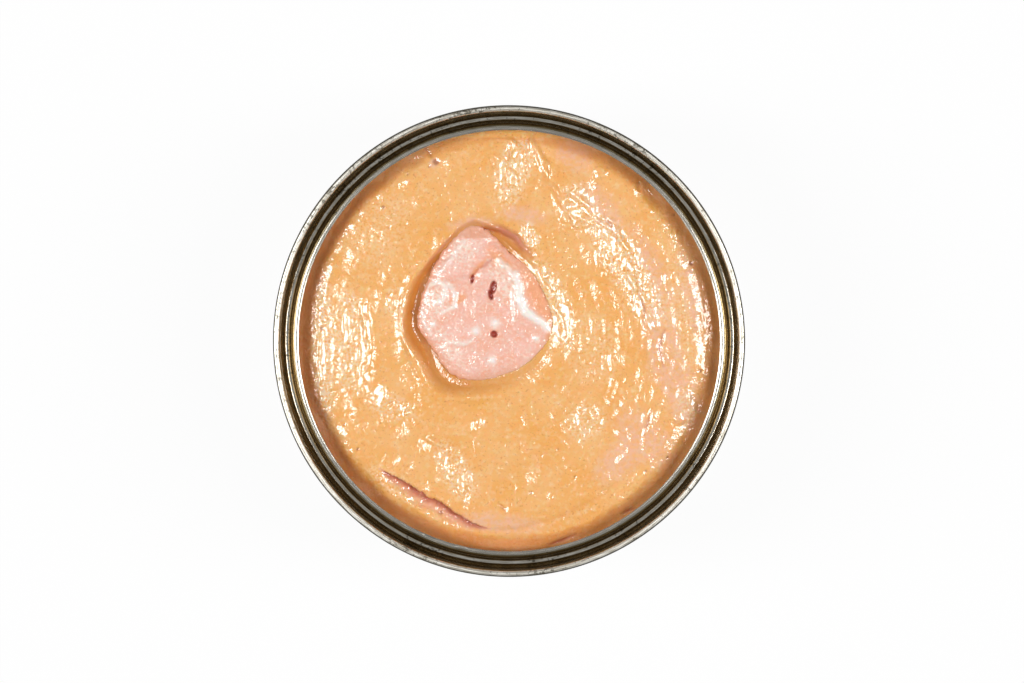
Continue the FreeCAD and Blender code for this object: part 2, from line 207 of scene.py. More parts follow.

# %% [markdown]
# ## Tinplate
# The can and its lid are steel sheet with a skin of tin, drawn and rolled bright. The lid
# also has a thin gold lacquer, which the double seam's folding scratched and browned. The
# eye sees sharp reflections, drawn out round the rim by the rolling, fine scratches, brown
# stains, and gold-brown walls between bright edges. Painted shade darkens the walls' gold
# down into the groove, darkest on the inner wall, and a painted dark reflection runs round
# the seam's outer face. So both are metals of low roughness, and noise stretched along the
# round varies their tone and roughness. It is laid out on the direction from the axis, so it
# has no join. The zones of lacquer and painted shade go by radius and height, because the
# seam's folds are where they change.


# %% Rolled tinplate material
def tinplate(name, bright, dull, dark, roughness, wear, lacquer_and_shade=None):
    """Tin-coated steel, bright and dull along the rolling, with dark stains. wear is how strong
    they are. The lacquer tones are, in order: the seam's wall and the inner wall, gold lacquer
    with painted shade; both where they are worn; a painted dark reflection outside the rim;
    and the bare flange."""
    material, tree = new_material(name)
    place = add(tree, "TexCoord").outputs["Object"]
    flat = add(tree, "VectorMath", {0: place, 1: (1, 1, 0)}, operation="MULTIPLY").outputs[0]
    radius = add(tree, "VectorMath", {0: flat}, operation="LENGTH").outputs["Value"]
    outward = add(tree, "VectorMath", {0: flat}, operation="NORMALIZE").outputs[0]
    height = add(tree, "SeparateXYZ", {0: place}).outputs["Z"]
    # rolling streaks: 3 mm long at a radius of 42 mm, and 0.15 mm apart
    apart = add(tree, "Math", {0: radius, 1: height}, operation="ADD").outputs[0]
    apart = add(tree, "Math", {0: apart, 1: 1 / (0.15 * MM)}, operation="MULTIPLY").outputs[0]
    across = add(tree, "CombineXYZ", {"Z": apart}).outputs[0]
    along = add(tree, "VectorMath", {0: outward, "Scale": 42 / 3.0}, operation="SCALE").outputs[0]
    laid = add(tree, "VectorMath", {0: along, 1: across}).outputs[0]
    streak = add(tree, "TexNoise", {"Vector": laid, "Scale": 1.0, "Detail": 3.0, "Roughness": 0.6}).outputs["Fac"]
    worn = add(tree, "MapRange", {"Value": streak, "From Min": 0.38, "From Max": 0.62}).outputs[0]
    # stains and bare spots, about 1 mm, thicker along some stretches of the rim
    spot = add(tree, "TexNoise", {"Vector": place, "Scale": 1 / (0.8 * MM), "Detail": 5.0, "Roughness": 0.7})
    stretch = add(tree, "TexNoise", {"Vector": place, "Scale": 1 / (14 * MM), "Detail": 2.0}).outputs["Fac"]
    more = add(tree, "MapRange", {"Value": stretch, "From Min": 0.35, "From Max": 0.65,
                                  "To Min": -0.09, "To Max": 0.05}).outputs[0]
    spot = add(tree, "Math", {0: spot.outputs["Fac"], 1: more}, operation="ADD").outputs[0]
    stained = add(tree, "MapRange", {"Value": spot, "From Min": 0.53, "From Max": 0.61,
                                     "To Max": wear}).outputs[0]
    layers = [(worn, paint(bright))]
    if lacquer_and_shade:
        wall_lacquer_shade_tone, inner_wall_shade_tone, worn_tone, painted_dark_reflection_tone, flange_tone = (paint(code) for code in lacquer_and_shade)
        waver = add(tree, "Math", {0: spot, 1: 0.5 * MM}, operation="MULTIPLY").outputs[0]
        wavy = add(tree, "Math", {0: height, 1: waver}, operation="ADD").outputs[0]
        zones = {  # what is measured, and the mm at which the zone starts and at which it is full
            "below_rim": (wavy, 38.15, 38.0), "above_groove": (height, 33.52, 33.58),
            "inward": (radius, 42.4, 42.3), "inner": (radius, 40.7, 40.5), "flange": (radius, 39.30, 39.12),
            "outside": (radius, 42.70, 42.76), "dark_reflection_height": (height, 37.2, 37.5)}
        zone = {key: add(tree, "MapRange", {"Value": value, "From Min": start * MM,
                                            "From Max": full * MM}).outputs[0]
                for key, (value, start, full) in zones.items()}
        # lacquer with painted shade on the steep walls, from the rim's top down to the groove, darker on the inner
        # wall
        steep = add(tree, "Math", {0: zone["above_groove"], 1: zone["inward"]}, operation="MULTIPLY").outputs[0]
        steep = add(tree, "Math", {0: zone["below_rim"], 1: steep}, operation="MULTIPLY").outputs[0]
        steep = add(tree, "Math", {0: steep, 1: zone["flange"]}, operation="SUBTRACT", use_clamp=True).outputs[0]
        lacquer_and_shade_tone = add(tree, "Mix", {0: zone["inner"], 6: wall_lacquer_shade_tone, 7: inner_wall_shade_tone}, data_type="RGBA").outputs[2]
        lacquer_and_shade_tone = add(tree, "Mix", {0: worn, 6: lacquer_and_shade_tone, 7: worn_tone}, data_type="RGBA").outputs[2]
        # a painted dark reflection on the seam's outer face near its top
        painted_dark_reflection = add(tree, "Math", {0: zone["outside"], 1: zone["dark_reflection_height"]}, operation="MULTIPLY").outputs[0]
        stained = add(tree, "Math", {0: stained, 1: zone["flange"]}, operation="SUBTRACT",
                      use_clamp=True).outputs[0]
        layers += [(steep, lacquer_and_shade_tone), (painted_dark_reflection, painted_dark_reflection_tone), (zone["flange"], flange_tone)]
    tone = paint(dull)
    for share, over in layers + [(stained, paint(dark))]:
        tone = add(tree, "Mix", {0: share, 6: tone, 7: over}, data_type="RGBA").outputs[2]
    # the streaks vary the shine, and the seam's top is scuffed
    sheen = add(tree, "MapRange", {"Value": streak, "From Min": 0.3, "From Max": 0.7,
                                   "To Min": roughness * 0.7, "To Max": roughness * 1.4}).outputs[0]
    scuffed = add(tree, "MapRange", {"Value": height, "From Min": 34.8 * MM, "From Max": 36.8 * MM,
                                     "To Max": 0.26}).outputs[0]
    sheen = add(tree, "Math", {0: sheen, 1: scuffed}, operation="ADD").outputs[0]
    dent = add(tree, "Bump", {"Height": streak, "Strength": 0.25, "Distance": 0.02 * MM}).outputs[0]
    metal = add(tree, "BsdfPrincipled", {"Base Color": tone, "Metallic": 1.0, "Roughness": sheen, "Normal": dent})
    add(tree, "OutputMaterial", {"Surface": metal.outputs[0]})
    print(f"{name}: {len(tree.nodes)} nodes")
    return material


# lacquered wall and inner wall, both with painted shade; worn lacquer; painted dark reflection; bare flange
LACQUER_AND_SHADE = ("b08c54", "786a4c", "8f8060", "4a463d", "c6c1b6")
end_plate = tinplate("lacquered_tinplate", "f4f1e8", "c9c2b2", "57503f", 0.16, 0.75, lacquer_and_shade=LACQUER_AND_SHADE)
body_plate = tinplate("bright_tinplate", "dcdad4", "c2c0ba", "8d8a80", 0.20, 0.25)

# %% [markdown]
# ## Bent plate
# Both metal parts are one thin sheet whose section is a line with rounded corners, turned
# round the axis. A turned curve with a screw modifier would do, but bmesh keeps it in a
# few steps: a wire through the corners, each corner bevelled to its bend, a full spin, and
# a Solidify modifier for the thickness, which leaves the real raw edge.

# %% Section and spin
JOIN = 0.002  # mm: points nearer than this are one point
BEND_STEP = radians(13)  # the most that one facet of a bend turns


def bent_line(corners):
    """A wire through (radius, height, bend) corners in mm, rounded to each bend."""
    bm = bmesh.new()
    points = [bm.verts.new((r * MM, 0, z * MM)) for r, z, _ in corners]
    for a, b in zip(points, points[1:]):
        bm.edges.new((a, b))
    for i, (r, z, bend) in enumerate(corners):
        if bend:
            before = Vector(corners[i - 1][:2]) - Vector((r, z))
            after = Vector(corners[i + 1][:2]) - Vector((r, z))
            turned = pi - before.angle(after)
            reach = bend * tan(turned / 2) * MM * 0.999  # a hair short, so that two bends never meet
            bmesh.ops.bevel(bm, geom=[points[i]], offset=reach, offset_type="OFFSET",
                            segments=max(3, round(turned / BEND_STEP)), profile=0.5, affect="VERTICES", material=-1)
    bmesh.ops.remove_doubles(bm, verts=bm.verts, dist=JOIN * MM)
    return bm


def turned_plate(name, corners, gauge, steps, material, slot, stands_for):
    """The section spun round the can's axis into a sheet of that gauge in mm."""
    bm = bent_line(corners)
    bmesh.ops.spin(bm, geom=bm.verts[:] + bm.edges[:], cent=(0, 0, 0), axis=(0, 0, 1), angle=2 * pi,
                   steps=steps, use_merge=True)
    bmesh.ops.remove_doubles(bm, verts=bm.verts, dist=JOIN * MM)
    bmesh.ops.recalc_face_normals(bm, faces=bm.faces)
    made = piece(name, bm, material, slot, stands_for)
    sheet = made.modifiers.new("gauge", "SOLIDIFY")
    sheet.thickness, sheet.offset, sheet.use_even_offset = gauge * MM, 0.0, True
    return made


# %% [markdown]
# ## Can body
# The body is drawn from one disc: a base with a raised panel and bead, a foot that steps
# in so that cans stack, a plain wall, and at the top the hook that the lid's plate is
# folded round. Its line starts at the middle of the base and ends at the hook's raw edge.

# %% Can body
BODY_GAUGE = 0.20  # mm
# radius, height and bend in mm
CAN_LINE = [
    (0, 2.8, 0), (30.0, 2.8, 0.8), (30.9, 2.1, 0.8), (36.12, 2.1, 0.8), (36.82, 0.1, 0.8), (41.12, 0.1, 1.6),
    (41.12, 3.2, 0.5), (42.17, 4.25, 0.5), (42.17, 37.75, 0.24), (42.65, 37.75, 0.24), (42.65, 35.85, 0)]
can_wall = turned_plate("can_wall", CAN_LINE, BODY_GAUGE, 288, body_plate, "tinplate_body", ["can_body"])

# %% [markdown]
# ## Lid's ring
# What is left of the lid: its seam, hooked under the body's hook and standing as the
# bright rim, the deep wall inside it, the groove, and a narrow flange that ends in the raw
# edge where the lid was torn off. It is turned as the body is, with more steps, because
# its bright bends show every facet. Its line starts at its own hook's raw edge, inside the
# seam, and ends at the torn edge.

# %% Lid's ring
END_GAUGE = 0.22  # mm
# radius, height and bend in mm
RING_LINE = [
    (42.41, 37.0, 0), (42.41, 35.21, 0.24), (42.89, 35.21, 0.24), (42.89, 37.99, 0.48), (41.93, 37.99, 0.48),
    (41.93, 35.1, 0.45), (41.23, 33.41, 0.45), (40.23, 33.41, 0.45), (39.63, 35.27, 0.40), (39.2, 35.27, 0.3),
    (38.53, 35.50, 0)]
lid_ring = turned_plate("lid_ring", RING_LINE, END_GAUGE, 480, end_plate, "tinplate_end", ["end_ring"])

# %% [markdown]
# ## Torn edge
# The lid tears along a line scored in it, and the pull leaves the thin edge bent up or
# down in places and slightly ragged. Sculpting would do this by hand. Here a short table
# says where it is bent, and the flange's own points follow it, more the nearer they are to
# the edge, so that the sheet stays one sheet.

# %% Edge torn and bent in places
FREE_RADIUS = 39.25  # mm: inside it the flange is free to bend
BENT = [  # degrees round, reach in degrees, rise per mm inwards
    (30, 14, 0.10), (-112, 2.0, -0.25), (-103, 1.6, 0.2), (137, 12, 0.08), (75, 10, -0.05), (-55, 14, -0.05)]
RAGGED_SIZE, RAGGED_RISE, RAGGED_DEPTH = 1.2, 0.015, 0.0012  # mm; rise and share of the radius per mm inwards
rises = []
for v in lid_ring.data.vertices:
    inwards = FREE_RADIUS - hypot(v.co.x, v.co.y) / MM
    if inwards > 0:
        heading = degrees(atan2(v.co.y, v.co.x))
        lean = sum(rise * max(0, min(1, 3 - 3 * abs(heading - at) / reach)) for at, reach, rise in BENT)
        ragged = noise.noise((v.co.x / (RAGGED_SIZE * MM), v.co.y / (RAGGED_SIZE * MM), 3.0))
        v.co.z += (lean + RAGGED_RISE * ragged) * inwards * MM
        v.co.xy *= 1 + RAGGED_DEPTH * ragged * inwards
        rises.append(lean * inwards)
print("torn edge bent by", round(min(rises), 2), "to", round(max(rises), 2), "mm")

# %% [markdown]
# ## Pate surface
# The pate was pressed against the lid and torn from it, so it is nearly level, grainy and
# smeared, with a trench of broth round half the meat lump and one tear near the edge. A
# fine grid is the plain way to hold such a surface: each point's height is the sum of a
# few named reliefs, worked out for all points at once with arrays, and its edge is then
# extruded out under the ring and down the wall into a closed body. The tables that come
# first say where each form lies, in mm from the can's axis.

# %% Level of the food and outline of the lump
LEVEL, OPENING, WALL = 32.95, 38.53, 42.07  # mm: height of the pate; radii of the torn edge and the can's wall
LUMP_AT, LUMP_TOP = (-4.4, 6.6), 33.5
OUTLINE = [
    (0, 11.9), (18, 11.1), (32, 10.7), (49, 10.1), (68, 10.5), (79, 11.7), (89, 13.5), (97, 14.5),
    (105, 14.2), (119, 12.8), (142, 11.6), (156, 11.1), (178, 11.7), (197, 12.7), (221, 12.4), (245, 14.1),
    (266, 13.7), (290, 13.4), (312, 13.5), (343, 13.2)]
TRENCH = [
    (20, 1.4, 0.0), (46, 2.0, 0.6), (60, 2.6, 1.2), (76, 2.6, 1.3), (91, 1.5, 0.8), (110, 1.3, 0.7),
    (128, 1.3, 1.0), (142, 1.7, 1.6), (157, 2.9, 2.0), (185, 3.2, 2.1), (216, 3.8, 2.0), (238, 4.6, 1.5),
    (262, 3.6, 0.8), (300, 2.6, 0.4), (330, 1.4, 0.1), (350, 1.4, 0.0)]


def around(rows, heading, column=1):
    """A smooth value read from a table that goes round by degrees."""
    knots = np.array([(row[0] + lap, row[column]) for lap in (-360, 0, 360) for row in rows], float)
    at, value = knots.T
    slope = np.gradient(value, at)
    h = np.asarray(heading) % 360
    i = np.clip(np.searchsorted(at, h, side="right") - 1, 0, len(at) - 2)
    gap = at[i + 1] - at[i]
    t = (h - at[i]) / gap
    return ((1 + 2 * t) * (1 - t) ** 2 * value[i] + t * (1 - t) ** 2 * gap * slope[i]
            + t * t * (3 - 2 * t) * value[i + 1] + t * t * (t - 1) * gap * slope[i + 1])


def from_lump(x, y):
    """Distance and heading of each point seen from the middle of the lump."""
    dx, dy = x - LUMP_AT[0], y - LUMP_AT[1]
    return np.hypot(dx, dy), np.degrees(np.arctan2(dy, dx))


reach = [float(around(OUTLINE, heading)) for heading in range(360)]
print("lump reaches from", round(min(reach), 1), "to", round(max(reach), 1), "mm from its middle")


# %% Shapes that the reliefs are made of
def ease(t):
    """0 to 1 in a smooth step."""
    t = np.clip(t, 0, 1)
    return t * t * (3 - 2 * t)


def hump(distance, reach):
    """1 at the middle, fading over reach."""
    return np.exp(-((distance / reach) ** 2))


def speckle(x, y, size, seed=0):
    """Noise from about -1 to 1 with grains of that size in mm."""
    return np.array([noise.noise((a, b, seed * 7.31)) for a, b in zip(x / size, y / size)])


def wrinkle(x, y, size, seed):
    """Folds that run about along y, size mm apart, with even flanks that rise 1 mm per mm."""
    shaken = x + 0.5 * speckle(x, y, 2.4, seed) + 0.36 * speckle(x, y, 1.1, seed + 2)
    t = shaken / size + 0.4 * speckle(x, y, 5.0, seed + 1)
    return size * (abs(t - np.floor(t + 0.5)) - 0.25)


def to_line(x, y, points):
    """Distance of each point to a line through those points, and how far along it, from 0 to 1."""
    best, where = np.full(x.shape, 1e9), np.zeros(x.shape)
    for i, ((ax, ay), (bx, by)) in enumerate(zip(points, points[1:])):
        dx, dy = bx - ax, by - ay
        t = np.clip(((x - ax) * dx + (y - ay) * dy) / (dx * dx + dy * dy), 0, 1)
        d = np.hypot(x - ax - t * dx, y - ay - t * dy)
        nearer = d < best
        best, where = np.where(nearer, d, best), np.where(nearer, (i + t) / (len(points) - 1), where)
    return best, where


def stroke(x, y, line, half, ends, shake):
    """A soft stroke along a line: 1 on it, fading over half mm beside it and towards its ends."""
    off, where = to_line(x, y, line)
    return np.sin(pi * np.clip(where, ends, 1 - ends)) ** 0.5 * hump(off + shake, half)


def patch(x, y, cx, cy, across, along, lie):
    """How far inside an oval patch each point is: 1 in it, fading to 0 outside, and its place across and along."""
    c, s = cos(radians(lie)), sin(radians(lie))
    u, v = (x - cx) * s - (y - cy) * c, (x - cx) * c + (y - cy) * s
    return np.exp(-((u / across) ** 2 + (v / along) ** 2) ** 2), u / across, v / along


print("a hump fades to", round(float(hump(1.0, 1.0)), 2), "at its reach")

# %% Wet, frothy and pink places on the pate, in mm and degrees
# x, y, half width, half length, lie of the length: broad wrinkles under a smooth wet film
WET = [
    (-26.7, -1.0, 1.1, 9.0, 92), (-30.0, 2.6, 0.7, 3.5, 92), (-34.6, -3.5, 0.8, 4.5, 90),
    (-21.8, 7.4, 0.7, 1.6, 75), (-23.8, -10.0, 1.3, 2.2, 60), (-20.5, -12.6, 1.0, 2.0, 150),
    (13.0, 24.7, 2.4, 3.2, 118), (15.2, 20.4, 1.0, 3.2, 155), (20.4, 17.4, 2.0, 5.5, 125),
    (24.3, 7.0, 1.7, 5.6, 115), (5.6, 11.4, 1.5, 3.4, 120), (9.3, 4.2, 1.8, 4.4, 105),
    (17.0, 14.2, 1.0, 2.2, 105), (5.5, 33.4, 0.9, 4.2, 112), (16.6, 30.8, 0.9, 1.1, 100),
    (23.6, 28.2, 0.5, 0.9, 110), (30.0, 19.8, 0.6, 0.9, 70), (28.0, 11.2, 0.5, 1.0, 100),
    (30.2, 3.6, 0.6, 1.3, 110), (35.7, 3.2, 0.4, 1.8, 100), (-9.2, -27.0, 0.9, 3.4, 122),
    (-11.6, -22.8, 0.7, 1.6, 100), (-15.4, -19.0, 1.0, 1.6, 60), (0.8, 34.0, 1.0, 2.4, 100),
    (-1.5, 31.0, 0.9, 1.8, 80), (33.4, -11.4, 0.6, 1.6, 110), (31.0, -14.2, 0.5, 1.2, 120),
    (18.5, -4.0, 0.7, 2.0, 110), (12.5, -14.5, 0.6, 1.6, 110), (-6.0, -15.5, 0.9, 1.2, 30)]
# the same and a strength: where the wet skin is finely wrinkled and full of small bubbles
FROTH = [
    (-34.3, -1.5, 2.3, 14.5, 90, 1.0), (-29.5, -0.5, 3.6, 10.0, 90, 0.8), (1.0, 31.5, 3.2, 7.5, 75, 0.8),
    (13.5, 24.0, 3.2, 5.5, 122, 0.7), (21.5, 13.5, 3.6, 12.5, 122, 1.0), (8.2, 6.5, 3.0, 9.0, 112, 0.9),
    (31.5, 5.0, 2.6, 13.0, 97, 0.4), (-10.0, -24.0, 3.0, 6.5, 120, 0.7), (-22.0, -12.0, 2.4, 5.0, 160, 0.7),
    (3.8, 19.2, 1.7, 2.9, 110, 1.0), (14.0, -15.0, 3.5, 4.0, 20, 0.6), (32.4, -12.0, 1.6, 4.2, 110, 0.6),
    (-21.0, 7.0, 2.0, 3.5, 80, 0.6), (-24.0, 20.0, 5.0, 8.0, 60, 0.35), (15.0, -1.0, 5.0, 7.0, 110, 0.35),
    (-20.0, -27.0, 2.0, 7.0, 150, 0.5)]
# x, y, half width, half length, lie: pinker meat in the mix
PINK = [
    (12.0, 33.7, 3.6, 2.8, 60), (17.0, 24.5, 2.4, 5.5, 128), (2.5, 23.0, 1.6, 4.5, 170),
    (-7.0, 21.5, 1.2, 4.5, 10), (26.0, 14.0, 2.0, 8.0, 118), (31.0, -8.0, 3.4, 9.0, 105),
    (25.0, -18.0, 4.0, 7.0, 135), (-13.7, 32.6, 0.9, 1.4, 30), (28.0, 0.0, 3.4, 8.0, 95),
    (20.0, -22.0, 3.0, 5.0, 40), (33.5, 8.0, 2.0, 9.0, 100), (-3.0, -33.5, 2.0, 9.0, 175)]
# x, y, radius: small open bubbles
PITS = [
    (-13.4, 32.8, 0.7), (-14.6, 31.9, 0.45), (-5.4, 31.6, 0.4), (-18.6, 30.4, 0.35), (-23.1, 24.5, 0.4),
    (-22.0, 20.8, 0.35), (33.3, 14.1, 0.45), (-34.5, 2.2, 0.5), (-23.5, -0.2, 0.28), (-21.4, -2.8, 0.26),
    (-18.0, 5.3, 0.3), (-19.9, -6.6, 0.26), (8.9, -20.0, 0.5), (16.4, -30.6, 0.5), (25.0, -24.0, 0.4),
    (29.0, -21.5, 0.45), (21.0, -27.0, 0.4), (-12.6, -31.7, 0.6), (12.0, -25.0, 0.35), (-28.0, -20.0, 0.35),
    (-30.5, -15.5, 0.3), (35.0, -5.6, 0.4), (4.0, -28.0, 0.3), (30.2, 23.0, 0.35)]
print("places:", len(WET), "wet,", len(FROTH), "frothy,", len(PINK), "pink,", len(PITS), "pits")

# %% Creases, raised streaks and the tear, in mm
# points, half width, depth, redness (share of the dark red, partly the meat's red and partly painted shade): soft
# creases and small cracks
FURROWS = [
    (((-8.0, -34.0), (-3.5, -35.2), (2.0, -34.6), (9.0, -32.6), (16.0, -29.0), (23.0, -23.5)), 0.45, 0.14, 0.1),
    (((6.9, -37.8), (9.4, -36.9), (12.1, -35.8)), 0.28, 0.7, 0.9),
    (((20.6, -31.9), (22.9, -30.9)), 0.25, 0.5, 0.8),
    (((24.6, -17.4), (25.6, -14.8), (26.0, -12.6)), 0.3, 0.3, 0.5),
    (((28.5, 2.0), (27.4, -1.2), (28.2, -4.6)), 0.3, 0.3, 0.6),
    (((23.6, 9.0), (24.8, 6.0), (24.6, 3.6)), 0.28, 0.3, 0.5), (((17.4, 22.6), (19.6, 20.0)), 0.3, 0.25, 0.5),
    (((-2.0, -30.0), (-0.6, -31.4)), 0.25, 0.25, 0.4),
    (((10.2, 28.0), (10.6, 24.0), (12.0, 20.8), (15.8, 21.6)), 0.35, 0.35, 0.1),
    (((5.8, 29.4), (8.4, 27.8), (9.8, 24.6), (9.4, 20.4)), 0.5, 0.3, 0.1),
    (((-15.9, 36.0), (-14.0, 33.4)), 0.3, 0.25, 0.6),
    (((-9.8, 17.2), (-7.2, 19.9), (-5.2, 20.6), (-1.7, 20.0), (0.8, 18.5), (2.2, 16.6)), 0.35, 0.4, 0.8)]
# points, half width, height, share of the reddish lip's colour: raised wet edges and streaks
RIDGES = [
    (((-6.4, 21.3), (-1.7, 20.6), (1.2, 19.1), (2.7, 17.0), (4.2, 15.6)), 0.6, 0.5, 1.0),
    (((-6.6, 21.8), (-10.9, 18.6), (-14.0, 15.0), (-15.8, 12.0)), 0.5, 0.28, 0.8),
    (((3.9, 37.3), (5.6, 33.8), (7.0, 29.6)), 0.50, 0.48, 0.0),
    (((-1.6, 37.0), (0.6, 36.6), (2.4, 34.8), (2.8, 32.0)), 0.35, 0.26, 0.0),
    (((-1.8, 33.4), (0.3, 31.8), (2.4, 30.2), (4.6, 30.8)), 0.35, 0.24, 0.0),
    (((7.4, 28.6), (9.0, 24.6), (9.6, 21.4), (13.0, 20.2)), 0.40, 0.28, 0.0),
    (((11.0, 27.4), (14.6, 24.6), (16.4, 21.8), (19.4, 19.8)), 0.55, 0.42, 0.0),
    (((19.2, 20.6), (21.4, 17.0), (23.6, 12.6)), 0.50, 0.40, 0.0),
    (((21.4, 12.6), (24.0, 8.4), (26.6, 2.6)), 0.50, 0.36, 0.0),
    (((4.6, 13.8), (6.6, 10.2), (8.2, 7.8)), 0.45, 0.36, 0.0),
    (((7.8, 7.2), (9.6, 4.0), (10.2, 0.8)), 0.45, 0.32, 0.0),
    (((16.0, 16.4), (17.6, 13.2), (18.4, 12.4)), 0.35, 0.28, 0.0),
    (((-19.6, 9.8), (-20.0, 5.0), (-19.3, 0.5), (-17.7, -4.8), (-15.3, -9.0)), 0.34, 0.24, 0.1),
    (((-10.6, -23.6), (-9.8, -26.4), (-8.0, -29.4)), 0.45, 0.36, 0.0),
    (((-15.6, -17.8), (-13.4, -18.8), (-11.2, -20.2)), 0.4, 0.28, 0.0),
    (((-27.2, 7.6), (-26.6, 3.0), (-26.8, -4.0), (-27.4, -9.6)), 0.55, 0.34, 0.0),
    (((32.6, -8.6), (33.2, -11.6), (34.2, -13.4)), 0.35, 0.3, 0.0)]
TEAR_AT, TEAR_LIP = -117, 31.77  # degrees round and distance of the tear's lip from the can's axis
# place along the lip, how far the lip stands out there, depth of the gash
TEAR = [
    (-11.0, 0.1, 0.0), (-9.8, 0.1, 0.3), (-7.8, 0.0, 0.9), (-4.4, 0.0, 1.2), (-2.4, 0.35, 1.5),
    (1.8, 0.1, 1.6), (6.2, 0.9, 1.3), (9.4, 1.2, 0.7), (12.2, 0.9, 0.15), (13.0, 0.9, 0.0)]
print("lines:", len(FURROWS), "furrows,", len(RIDGES), "ridges, and a tear", TEAR[-1][0] - TEAR[0][0], "mm long")


# %% Place in the tear, and the pate's wet skin
def tear_place(x, y):
    """Place of each point in the tear's own frame: out from its lip, along it, and its depth there."""
    c, s = cos(radians(TEAR_AT)), sin(radians(TEAR_AT))
    out, along = x * c + y * s, y * c - x * s
    places, stands_out, depths = np.array(TEAR).T
    lip = np.interp(along, places, stands_out) + 0.14 * speckle(along, along * 0, 1.1, 31)
    lip = lip + 0.3 * ease((along + 1.2) / 0.25) * hump(along + 0.2, 1.6)
    return out - TEAR_LIP - lip, along, np.interp(along, places, depths, left=0, right=0)


def wet_skin(x, y, ragged):
    """Over each point: how frothy the skin is, how wet, and the half width of the wet place."""
    froth, wet, broad = np.zeros(x.shape), np.zeros(x.shape), np.zeros(x.shape)
    for cx, cy, across, along, lie, strength in FROTH:
        inside = patch(x, y, cx, cy, across, along, lie)[0]
        froth = np.maximum(froth, ease(inside * (1 + ragged) * 1.2) * strength)
    for cx, cy, across, along, lie in WET:
        inside = patch(x + 1.2 * ragged, y + 0.8 * ragged, cx, cy, across * 1.15, along, lie)[0]
        here = ease((inside - 0.15) / 0.3)
        broad = np.where(here > wet, across, broad)
        wet = np.maximum(wet, here)
    return froth, wet, broad


# %% Height of the pate
FOLD_SIZES = (1.5, 2.5, 3.6, 5.0)  # mm between the folds of a wet place
FOLD_SHARE = 2.1  # and that is about this many times its half width
# a flank that rises 0.39 mm per mm mirrors a softbox straight up, so such folds shine from edge to edge
WET_SLOPE, FROTH_SLOPE = 0.39, 0.37


